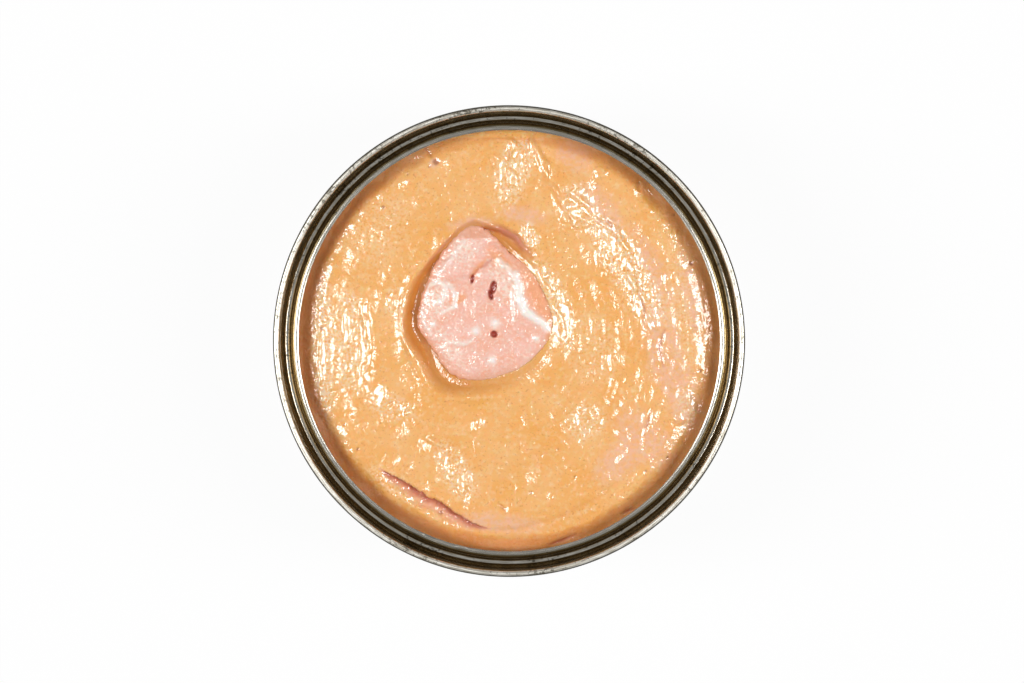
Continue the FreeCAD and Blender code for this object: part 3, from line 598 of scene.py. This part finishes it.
def pate_height(x, y):
    """Height in mm of the pate's surface over each point, the masks that its material reads,
    and each point's place out from the tear's lip, with the tear's depth there."""
    r = np.hypot(x, y)
    distance, heading = from_lump(x, y)
    beyond = distance - around(OUTLINE, heading)
    # the trench round the lump with its low bank, and the swirls that the filling nozzle left
    width, depth = around(TRENCH, heading), around(TRENCH, heading, 2)
    trench = ease((1 - beyond / width) / 0.65)
    bank = 0.16 * hump(beyond - width - 0.15, 0.75)
    swirls = np.cos(2 * pi * (r + x / 8 + 0.6 * speckle(x, y, 9.0, 7)) / 5.4)
    level = 0.25 * x / (2 * WALL) + 0.08 * swirls + depth * (bank - trench)
    clear = 1 - np.clip(trench * depth, 0, 1) * 0.85
    # grain, coarser where it is frothy, and fine rings that the lid left
    ragged, broken = 0.35 * speckle(x, y, 1.8, 21), speckle(x, y, 2.6, 22)
    froth, wet, broad = wet_skin(x, y, ragged)
    relief = 0.30 * speckle(x, y, 7.0, 1) + 0.18 * speckle(x, y, 2.8, 2)
    relief += (0.06 + 0.06 * froth) * speckle(x, y, 1.3, 3)
    relief += (0.04 + 0.11 * froth) * speckle(x, y, 0.65, 4)
    relief += 0.02 * np.cos(2 * pi * (r + 0.5 * speckle(x, y, 6.0, 8)) / 1.5) * ease((x - y) / 20)
    # folds that mirror the softboxes: fine in froth, calmer on the left, and broad under wet film
    tight = ease((froth + 0.6 * broken - 0.62) / 0.25) * (1 - wet)
    relief *= 1 - 0.85 * wet
    relief += FROTH_SLOPE * tight * (1 - 0.5 * (x < -20)) * wrinkle(x + 0.3 * ragged, y, 1.1, 41)
    for size in FOLD_SIZES:
        fits = abs(np.clip(FOLD_SHARE * broad, FOLD_SIZES[0], FOLD_SIZES[-1]) - size) < 0.7
        relief += WET_SLOPE * wet * fits * wrinkle(x, y, size, 43)
    relief = relief * clear * (1 - 0.7 * hump(beyond, 1.0))
    # creases, pits and raised streaks
    crease_red_and_shade, pit, lip = np.zeros(x.shape), np.zeros(x.shape), np.zeros(x.shape)
    for line, half, deep, redness in FURROWS:
        crease = stroke(x, y, line, half, 0.06, 0.1 * ragged)
        relief -= deep * crease
        crease_red_and_shade = np.maximum(crease_red_and_shade, redness * crease)
    # the pits' dark colour is painted shade in their hollows
    for cx, cy, size in PITS:
        pit = np.maximum(pit, ease(1.2 + 2.2 * ragged - np.hypot(x - cx, y - cy) / (0.75 * size)))
    relief -= 0.22 * pit
    for line, half, height, redness in RIDGES:
        fold = stroke(x, y, line, half, 0.08, 0.15 * ragged)
        relief += height * fold
        lip = np.maximum(lip, fold * redness)
    # the whole surface, which sinks in two steps towards the can's wall
    z = LEVEL + (level + relief) * ease((OPENING + 0.4 - r) / 2.2)
    z -= 0.3 * ease((r - 32.5) / 6.5)
    z -= 0.8 * ease((r - 35.0 - 0.8 * speckle(x, y, 4.0, 9)) / 3.8)
    # the tear: a steep gash under its lip, with a rough bed that rises away from it
    t, along, gash = tear_place(x, y)
    bed = np.clip(1 - (t - 0.2 * speckle(x, y, 1.0, 6)) / (2.1 * gash + 0.01), 0, 1)
    slit = (t >= 0) * (gash > 0) * bed
    z -= gash * slit - 0.3 * speckle(x, y, 0.7, 5) * ease(t / 0.6) * (slit > 0) * ease(gash)
    z += 0.12 * gash * hump(t + 1.3, 1.2) * (t < 0)
    # under the lump the pate dives, to 7.1 mm below the lump's top
    under = np.interp(depth, [0.3, 1.2], [-0.40, 0.25]) - beyond
    z = np.where(under > 0, np.minimum(z, LUMP_TOP - 1.0 - 6.0 * under), z)
    z = np.maximum(z, LUMP_TOP - 7.1)
    # what the material reads
    # deep is painted shade in the undercut beneath the tear's lip, over the red of the torn meat
    torn = ease(bed * 1.5) * (t >= -0.1) * (gash > 0.05)
    deep = torn * ease(1.1 - t / 1.7) * ease(gash / 0.6) * (0.8 + 0.6 * ragged)
    pink = sum(patch(x + 2 * ragged, y + ragged, *row)[0] for row in PINK)
    # painted shade of the can's wall on the pate: strongest on the left, weakest towards the top
    rim_shade_strength = 0.6 + 0.15 * np.clip(-x / 34, -1, 1) - 0.4 * hump(x + 6, 16) * (y > 0)
    masks = {"froth": froth, "trench": np.clip(trench * depth / 1.1, 0, 1), "pink": np.clip(pink, 0, 1),
             "lip": lip, "torn": torn, "deep": np.clip(deep + crease_red_and_shade, 0, 1), "pit": pit, "wet": wet,
             "edge": ease((r - 35.8 + 0.5 * speckle(x, y, 3.0, 10)) / 1.4) * rim_shade_strength}
    return z, masks, t, gash


print("folds shine where they lean", round(degrees(atan2(WET_SLOPE, 1))), "degrees")

# %% Grid cut to the can and shaped
GRID = 0.236  # mm between points, as fine as the piece's count of faces allows
HIDDEN = 39.3  # mm: the grid ends here, under the ring
FLAP_WIDTH, FLAP_REACH = 0.9, 0.28  # mm: the lip's soft edge, and how far it hangs over per mm of the tear's depth
bm = bmesh.new()
count = 2 * round(HIDDEN / GRID) + 4
bmesh.ops.create_grid(bm, x_segments=count, y_segments=count, size=count / 2 * GRID * MM)
outer = (HIDDEN - GRID * 0.2) * MM
bmesh.ops.delete(bm, geom=[v for v in bm.verts if hypot(v.co.x, v.co.y) > outer], context="VERTS")
for v in bm.verts:
    if v.is_boundary:
        v.co *= HIDDEN * MM / hypot(v.co.x, v.co.y)
points = np.array([v.co[:2] for v in bm.verts]) / MM
heights, pate_masks, from_lip, gashes = pate_height(*points.T)
outwards = Vector((cos(radians(TEAR_AT)), sin(radians(TEAR_AT))))
for v, z, t, gash in zip(bm.verts, heights, from_lip, gashes):
    v.co.z = z * MM
    if -FLAP_WIDTH < t < 0 and gash > 0:
        v.co.xy += outwards * (FLAP_REACH * gash * (1 + t / FLAP_WIDTH) ** 2 * MM)
print("pate heights in mm:", round(heights.min(), 2), round(heights.max(), 2))

# %% Filling closed below
# radius and height in mm of each ring: under the lid's ring, down the wall, over the base, and its middle
BELOW = ((41.98, 32.5), (41.98, 5.0), (40.0, 3.1), (0.0, 3.1))
edge = [e for e in bm.edges if e.is_boundary]
for radius, z in BELOW:
    ring = bmesh.ops.extrude_edge_only(bm, edges=edge)["geom"]
    edge = [e for e in ring if isinstance(e, bmesh.types.BMEdge)]
    for v in (v for v in ring if isinstance(v, bmesh.types.BMVert)):
        v.co = Vector((*(v.co.xy.normalized() * radius * MM), z * MM)) if radius else Vector((0, 0, z * MM))
middle = [v for v in bm.verts if v.co.z < 3.2 * MM and hypot(*v.co.xy) < MM]
bmesh.ops.remove_doubles(bm, verts=middle, dist=0.001 * MM)
bmesh.ops.recalc_face_normals(bm, faces=bm.faces)
print("open edges left:", sum(e.is_boundary for e in bm.edges))

# %% [markdown]
# ## Moist pate
# Pate is minced meat and fat set in broth. It is soft and lets light in a little, and a
# wet film covers it. The eye sees an orange-beige mottled with paler fat and darker gaps,
# pinker where there is more meat, whitish where it is frothy and browner in the broth,
# with sharp glints on top. Painted shade darkens it along the can, under the tear's lip,
# in creases and in pits. A painted texture could hold all this, but noise at the mince's
# own size, 0.4 to 7 mm, and masks stored on the mesh keep it sharp at any distance. The
# glints need no white paint: they are a clear coat's reflections.


# %% Masks and layered colour
def carry(made, masks, later=()):
    """Stores each mask as a point attribute of the piece. Points extruded later get 1 for the
    masks named so, and 0 for the rest."""
    for name, values in masks.items():
        full = np.full(len(made.data.vertices), float(name in later), np.float32)
        full[: len(values)] = values
        made.data.attributes.new(name, "FLOAT", "POINT").data.foreach_set("value", full)


def layered(tree, base, broken, plain, grains, masks):
    """The base colour with layers over it. A broken layer is its colour, its mask or none, its noise,
    the noise's values where it starts and is full, and its least and greatest share. A plain layer
    is its colour, its mask and its share there."""
    tone = paint(base)
    for code, within, grain, start, full, least, most in broken:
        share = add(tree, "MapRange", {"Value": grains[grain], "From Min": start, "From Max": full,
                                       "To Min": least, "To Max": most}).outputs[0]
        if within:
            share = add(tree, "Math", {0: masks[within], 1: share}, operation="MULTIPLY").outputs[0]
        tone = add(tree, "Mix", {0: share, 6: tone, 7: paint(code)}, data_type="RGBA").outputs[2]
    for code, within, most in plain:
        share = masks[within]
        if most < 1:
            share = add(tree, "Math", {0: share, 1: most}, operation="MULTIPLY").outputs[0]
        tone = add(tree, "Mix", {0: share, 6: tone, 7: paint(code)}, data_type="RGBA").outputs[2]
    return tone


# %% Moist pate material
PATE_GRAINS = {"cloud": (7.0, 3.0), "mince": (0.9, 2.0), "fine": (0.42, 1.0)}  # size in mm, detail
BROKEN = [
    ("fbbd75", None, "cloud", 0.35, 0.65, 0.0, 1.0),  # uneven mixing
    ("fccf96", None, "mince", 0.5, 0.85, 0.0, 1.0),  # paler fat
    ("cf8748", None, "fine", 0.38, 0.26, 0.0, 0.5),  # shaded gaps between the grains
    ("f6bf9a", "pink", "mince", 0.35, 0.6, 0.3, 0.95),  # meat
    ("fde8cb", "froth", "fine", 0.42, 0.62, 0.0, 0.7)]  # small bubbles
# painted shade: edge along the can's wall, deep under the tear's lip and in creases over the torn meat's red, pit
# in the pits
PLAIN = [
    ("d68152", "edge", 1.0), ("cd7c60", "lip", 1.0), ("d98f3c", "trench", 1.0), ("f2b290", "torn", 1.0),
    ("b4502e", "deep", 1.0), ("9c5430", "pit", 0.7)]
pate_skin, tree = new_material("moist_pate")
place = add(tree, "TexCoord").outputs["Object"]
mask = {name: add(tree, "Attribute", attribute_name=name).outputs["Fac"] for name in pate_masks}
grains = {name: add(tree, "TexNoise", {"Vector": place, "Scale": 1 / (size * MM), "Detail": detail,
                                       "Roughness": 0.5}).outputs["Fac"]
          for name, (size, detail) in PATE_GRAINS.items()}
tone = layered(tree, "f8b25c", BROKEN, PLAIN, grains, mask)
# the film lies over the grain, so wet places are smoother
grain = add(tree, "MapRange", {"Value": mask["wet"], "To Min": 0.34, "To Max": 0.06}).outputs[0]
lumps = add(tree, "Bump", {"Height": grains["mince"], "Strength": grain, "Distance": 0.20 * MM}).outputs[0]
grit = add(tree, "Bump", {"Height": grains["fine"], "Strength": grain, "Distance": 0.14 * MM,
                          "Normal": lumps}).outputs[0]
food = add(tree, "BsdfPrincipled", {
    "Base Color": tone, "Roughness": 0.35, "IOR": 1.45, "Normal": grit,
    "Coat Weight": 1.0, "Coat Roughness": 0.12, "Coat IOR": 1.8, "Coat Normal": grit,
    "Subsurface Weight": 0.4, "Subsurface Radius": (1.0, 0.35, 0.12), "Subsurface Scale": 1.2 * MM})
add(tree, "OutputMaterial", {"Surface": food.outputs[0]})
print("moist pate:", len(tree.nodes), "nodes and", len(mask), "masks")

# %% Pate filling
pate = piece("pate_filling", bm, pate_skin, "pate", ["pate"])
carry(pate, pate_masks)

# %% [markdown]
# ## Meat lump
# A lump of lighter, pinker meat is set in the pate. Its top was pressed flat, with low
# swellings, a crease, small holes, a few fat spots and wet ridges, and its sides go down
# into the pate. It is made as the pate is, on a finer grid cut to the lump's outline, whose
# edge is extruded down in steps to round the rim, swell the side and close the underside.

# %% Places on the lump, in mm from its middle
# x, y, rise, reach: low swellings
SWELLINGS = [(-4, 9, 0.22, 4.5), (5, -3, 0.18, 5.5), (-6, -2, 0.15, 4.0), (-1, -8, 0.10, 4.0)]
CREASE = [(-10.6, 4.3), (-6.2, 3.6), (-2.6, 4.9), (-1.4, 6.4), (1.3, 8.3)]
# x, y, half width, half length, lie, depth
HOLES = [
    (1.6, -5.4, 0.68, 0.68, 90, 0.8), (1.45, 3.2, 0.66, 1.25, 80, 0.9), (0.95, 1.8, 0.5, 1.0, 105, 0.8),
    (-2.4, 4.7, 0.38, 0.95, 80, 0.5)]
# x, y, reach: white specks of fat
SPOTS = [
    (-1.8, -4.8, 0.75), (1.8, -3.35, 0.75), (1.3, -10.2, 0.7), (-8.6, 0.6, 0.6), (3.2, 7.0, 0.5),
    (-9.6, -3.6, 0.5), (9.4, -6.2, 0.5)]
# x, y, half width, half length, lie: orange film of broth, then paler meat
FILMS = [
    (10.4, 1.8, 3.0, 8.0, 115), (12.0, -5.0, 1.0, 3.4, 85), (-5.0, 1.0, 0.8, 1.9, 25),
    (2.9, 8.0, 1.4, 3.2, 135), (-1.4, 6.6, 0.5, 2.6, 50)]
PALE = [
    (-8.8, 0.3, 2.0, 3.6, 80), (-4.3, 10.2, 3.0, 3.6, 70), (-6.5, -8.0, 2.0, 4.0, 130),
    (3.0, 4.5, 2.0, 4.5, 110)]
# points, half width, height, share of painted white highlight: wet ridges and curls of film
STREAKS = [
    (((5.4, 5.6), (6.1, 3.0), (6.5, 0.6), (7.3, -1.2), (8.9, -2.3), (10.4, -3.3), (11.3, -4.4)), 0.80, 0.5, 1.0),
    (((4.9, 2.7), (5.0, 0.0), (5.3, -3.0)), 0.3, 0.16, 0.5),
    (((5.7, 2.4), (5.9, 0.2), (6.1, -1.8)), 0.3, 0.16, 0.4),
    (((-10.9, 1.0), (-10.6, 3.4), (-8.6, 4.4), (-7.2, 3.2), (-7.6, 1.2), (-9.2, 0.6)), 0.42, 0.16, 0.7),
    (((-7.0, 4.0), (-5.4, 1.8), (-5.8, -0.4), (-8.0, -1.6)), 0.45, 0.18, 0.7),
    (((-11.6, -0.6), (-11.4, -3.0), (-10.0, -5.4)), 0.5, 0.2, 0.5),
    (((2.6, 8.2), (4.4, 6.4), (5.2, 4.6)), 0.6, 0.24, 0.6),
    (((-6.8, -6.8), (-4.2, -7.2), (-2.4, -6.6)), 0.45, 0.16, 0.5),
    (((-2.2, 14.2), (0.4, 14.0), (3.4, 11.6), (5.6, 9.8)), 0.35, 0.16, 0.4),
    (((-8.6, 5.6), (-6.0, 8.6), (-3.6, 12.0)), 0.5, 0.12, 0.3)]
print("on the lump:", len(HOLES), "holes,", len(SPOTS), "spots,", len(STREAKS), "streaks")


# %% Height of the lump's top
def lump_top(x, y):
    """Height in mm of the lump's top over each point, and the masks that its material reads."""
    u, v = x - LUMP_AT[0], y - LUMP_AT[1]
    distance, heading = from_lump(x, y)
    inside = around(OUTLINE, heading) - distance
    z = LUMP_TOP + 0.24 * speckle(x, y, 5.0, 11) + 0.13 * speckle(x, y, 1.7, 12) + 0.07 * speckle(x, y, 0.8, 13)
    for cx, cy, rise, reach in SWELLINGS:
        z += rise * (hump(np.hypot(u - cx, v - cy), reach) - 1)
    ragged = 0.4 * speckle(x, y, 1.2, 14)
    z -= 0.35 * hump(to_line(u, v, CREASE)[0] + 0.3 * ragged, 0.8)
    spot = np.zeros(x.shape)
    for line, half, height, share in STREAKS:
        fold = stroke(u + 0.3 * ragged, v, line, half, 0.12, 0.2 * ragged)
        z += height * fold
        # the streaks' white is a painted highlight, kept in the same mask as the white specks of fat
        spot = np.maximum(spot, share * ease(1.3 * fold))
    hole = 0.4 * hump(to_line(u + 0.4 * ragged, v, CREASE[2:])[0], 0.3)
    # the holes' dark red is partly the meat's red and partly painted shade in their depth
    for cx, cy, across, along, lie, deep in HOLES:
        _, a, b = patch(u + 0.15 * ragged, v + 0.1 * ragged, cx, cy, across, along, lie)
        well = ease((1.15 - np.hypot(a, b)) / 0.5)
        z -= deep * well
        hole = np.maximum(hole, well)
    for cx, cy, size in SPOTS:
        near = hump(np.hypot(u - cx, v - cy), size)
        z += 0.16 * near
        spot = np.maximum(spot, near)
    # the rim slopes off, more where the trench is deep
    slope = 0.25 + 0.3 * np.clip(around(TRENCH, heading, 2) / 1.5, 0, 1)
    z -= slope * ease(1 - inside / 3.0) ** 2 + 0.06 * speckle(x, y, 1.0, 15) * ease(1 - inside / 2.5)
    film = sum(patch(u + ragged, v + ragged, *row)[0] for row in FILMS)
    pale = sum(patch(u + 2 * ragged, v - ragged, *row)[0] for row in PALE)
    # side is painted shade on the lump's rounded rim and its sides
    return z, {"hole": hole, "spot": spot, "film": np.clip(film, 0, 1), "pale": np.clip(pale, 0, 1),
               "side": ease(1 - inside / 1.2)}


# %% Lump cut from a fine grid
STEP, CELLS = 0.15, 224  # mm between points, and how many across
RIM = 0.2  # mm from the edge of the top to the outline, left for the rounding
centre = Vector(LUMP_AT) * MM
bm = bmesh.new()
bmesh.ops.create_grid(bm, x_segments=CELLS, y_segments=CELLS, size=CELLS / 2 * STEP * MM,
                      matrix=Matrix.Translation((*centre, 0)))
for trim in (True, False):  # first cut the grid, then draw its edge out to the outline
    points = np.array([v.co[:2] for v in bm.verts]) / MM
    distance, heading = from_lump(*points.T)
    reach = around(OUTLINE, heading) - RIM + 0.10 * speckle(*points.T, 1.3, 16)
    if trim:
        outside = [v for v, d in zip(bm.verts[:], distance - reach) if d > -STEP * 0.2]
        bmesh.ops.delete(bm, geom=outside, context="VERTS")
    else:
        for v, d, full in zip(bm.verts, distance, reach):
            if v.is_boundary:
                v.co.xy = centre + (v.co.xy - centre) * full / d
points = np.array([v.co[:2] for v in bm.verts]) / MM
tops, lump_masks = lump_top(*points.T)
for v, z in zip(bm.verts, tops):
    v.co.z = z * MM
print("lump top in mm:", round(tops.min(), 2), round(tops.max(), 2))

# %% Sides and underside of the lump
SIDE = (  # mm out and mm down of each step: round the rim, down the side, and in under the lump
    (0.20, 0.08), (0.16, 0.14), (0.12, 0.2), (0.08, 0.3), (0.05, 0.4), (0.02, 0.56), (0.0, 0.5), (-0.4, 1.2),
    (-1.0, 2.0), (-1.2, 1.3))
edge = [e for e in bm.edges if e.is_boundary]
for out, down in SIDE:
    ring = bmesh.ops.extrude_edge_only(bm, edges=edge)["geom"]
    edge = [e for e in ring if isinstance(e, bmesh.types.BMEdge)]
    for v in (v for v in ring if isinstance(v, bmesh.types.BMVert)):
        rough = noise.noise(v.co / (0.9 * MM)) * 0.10 * (out > 0)
        v.co += Vector((*((v.co.xy - centre).normalized() * (out + rough) * MM), -down * MM))
bmesh.ops.holes_fill(bm, edges=edge)
bmesh.ops.recalc_face_normals(bm, faces=bm.faces)
print("lump is", round(sum(down for _, down in SIDE), 1), "mm deep")

# %% [markdown]
# ## Cooked meat
# The lump is pressed, cooked meat: finer and pinker than the pate, a little less clear,
# and as wet. The eye sees a soft pink mottle with pale fat, a painted white highlight along
# its wet ridges, orange broth in its low places, dark red holes deepened by painted shade,
# and painted shade on its rim and sides. The colours are layered as the pate's are, on a
# 2 mm mottle and 0.5 mm fibres, under the same clear wet coat.

# %% Cooked meat material
MEAT_GRAINS = {"mottle": (2.0, 4.0, 0.65), "fibre": (0.5, 1.5, 0.5)}  # size in mm, detail, roughness
BROKEN = [
    ("f9c4b4", None, "mottle", 0.36, 0.62, 0.0, 1.0),  # pinker muscle
    ("fbdccb", None, "fibre", 0.5, 0.75, 0.0, 0.7),  # pale fibres
    ("fbe3d2", "pale", "fibre", 0.35, 0.6, 0.0, 0.8),  # fat
    ("f4a878", "film", "mottle", 0.3, 0.6, 0.75, 1.0)]  # broth
# side is painted shade on the rim and sides; spot is fat specks plus painted highlight; hole is red with painted
# shade
PLAIN = [("e3a07a", "side", 0.55), ("fff6ee", "spot", 1.0), ("ab3518", "hole", 1.0)]
meat_cut, tree = new_material("cooked_meat")
place = add(tree, "TexCoord").outputs["Object"]
mask = {name: add(tree, "Attribute", attribute_name=name).outputs["Fac"] for name in lump_masks}
grains = {name: add(tree, "TexNoise", {"Vector": place, "Scale": 1 / (size * MM), "Detail": detail,
                                       "Roughness": roughness}).outputs["Fac"]
          for name, (size, detail, roughness) in MEAT_GRAINS.items()}
tone = layered(tree, "f6b59a", BROKEN, PLAIN, grains, mask)
nap = add(tree, "Bump", {"Height": grains["fibre"], "Strength": 0.5, "Distance": 0.22 * MM}).outputs[0]
flesh = add(tree, "BsdfPrincipled", {
    "Base Color": tone, "Roughness": 0.4, "IOR": 1.45, "Normal": nap,
    "Coat Weight": 1.0, "Coat Roughness": 0.12, "Coat IOR": 1.6, "Coat Normal": nap,
    "Subsurface Weight": 0.25, "Subsurface Radius": (1.0, 0.4, 0.25), "Subsurface Scale": 1.2 * MM})
add(tree, "OutputMaterial", {"Surface": flesh.outputs[0]})
print("cooked meat:", len(tree.nodes), "nodes and", len(mask), "masks")

# %% Meat lump
lump = piece("meat_lump_cut", bm, meat_cut, "meat", ["meat_lump"])
# the extruded sides take the side mask's painted shade in full
carry(lump, lump_masks, later=("side",))
